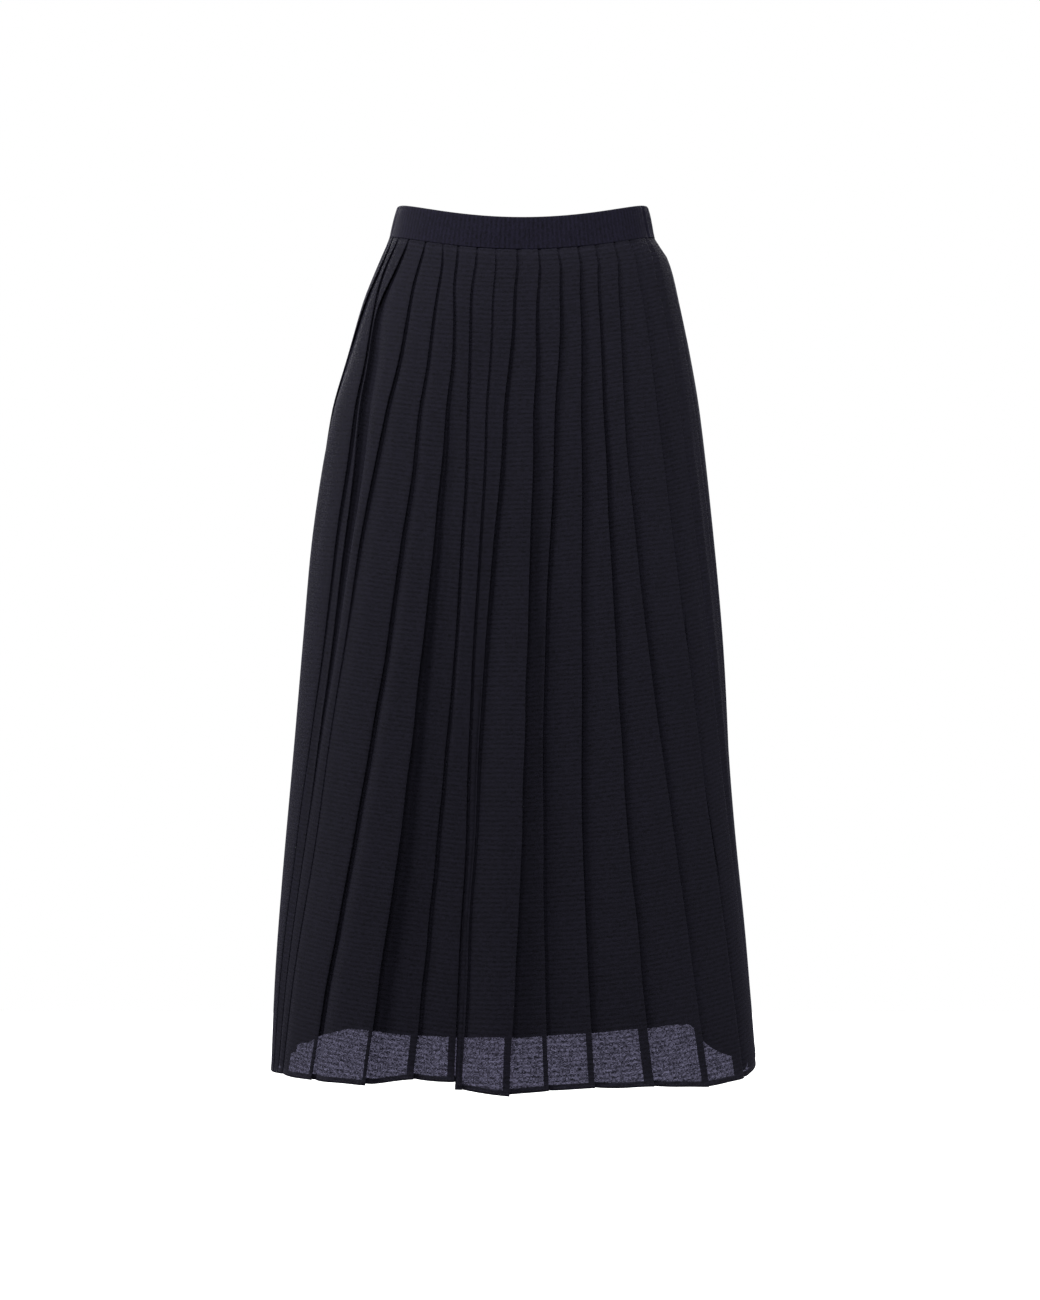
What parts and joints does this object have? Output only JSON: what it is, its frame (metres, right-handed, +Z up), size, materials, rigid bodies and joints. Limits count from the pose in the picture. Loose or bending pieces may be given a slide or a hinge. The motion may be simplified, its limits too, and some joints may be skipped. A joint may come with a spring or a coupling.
{
  "type": "pleated midi skirt",
  "caption": "Pull-on midi skirt of knife pleats, with a flat front waistband, an elasticated back waistband and a lining that ends above a sheer hem, filled out as worn.",
  "frame": {"origin": "centre of the waist opening, level with the middle of the waist's curved top edge", "axes": "+Z up along the skirt's length, front towards -Y, wearer's left towards +X"},
  "size_m": [0.4576, 0.3236, 0.826],
  "materials": {
    "pleated_crepe": "matte navy-black crepe with fine cross ribs, slightly sheer",
    "band_crepe": "matte navy-black crepe, interfaced",
    "lining_cloth": "smooth opaque black lining"
  },
  "bodies": {
    "root": {"front_skirt_panel": "pleated_crepe", "back_skirt_panel": "pleated_crepe", "front_waistband": "band_crepe", "back_waistband": "band_crepe", "front_lining": "lining_cloth", "back_lining": "lining_cloth"}
  },
  "joints": []
}
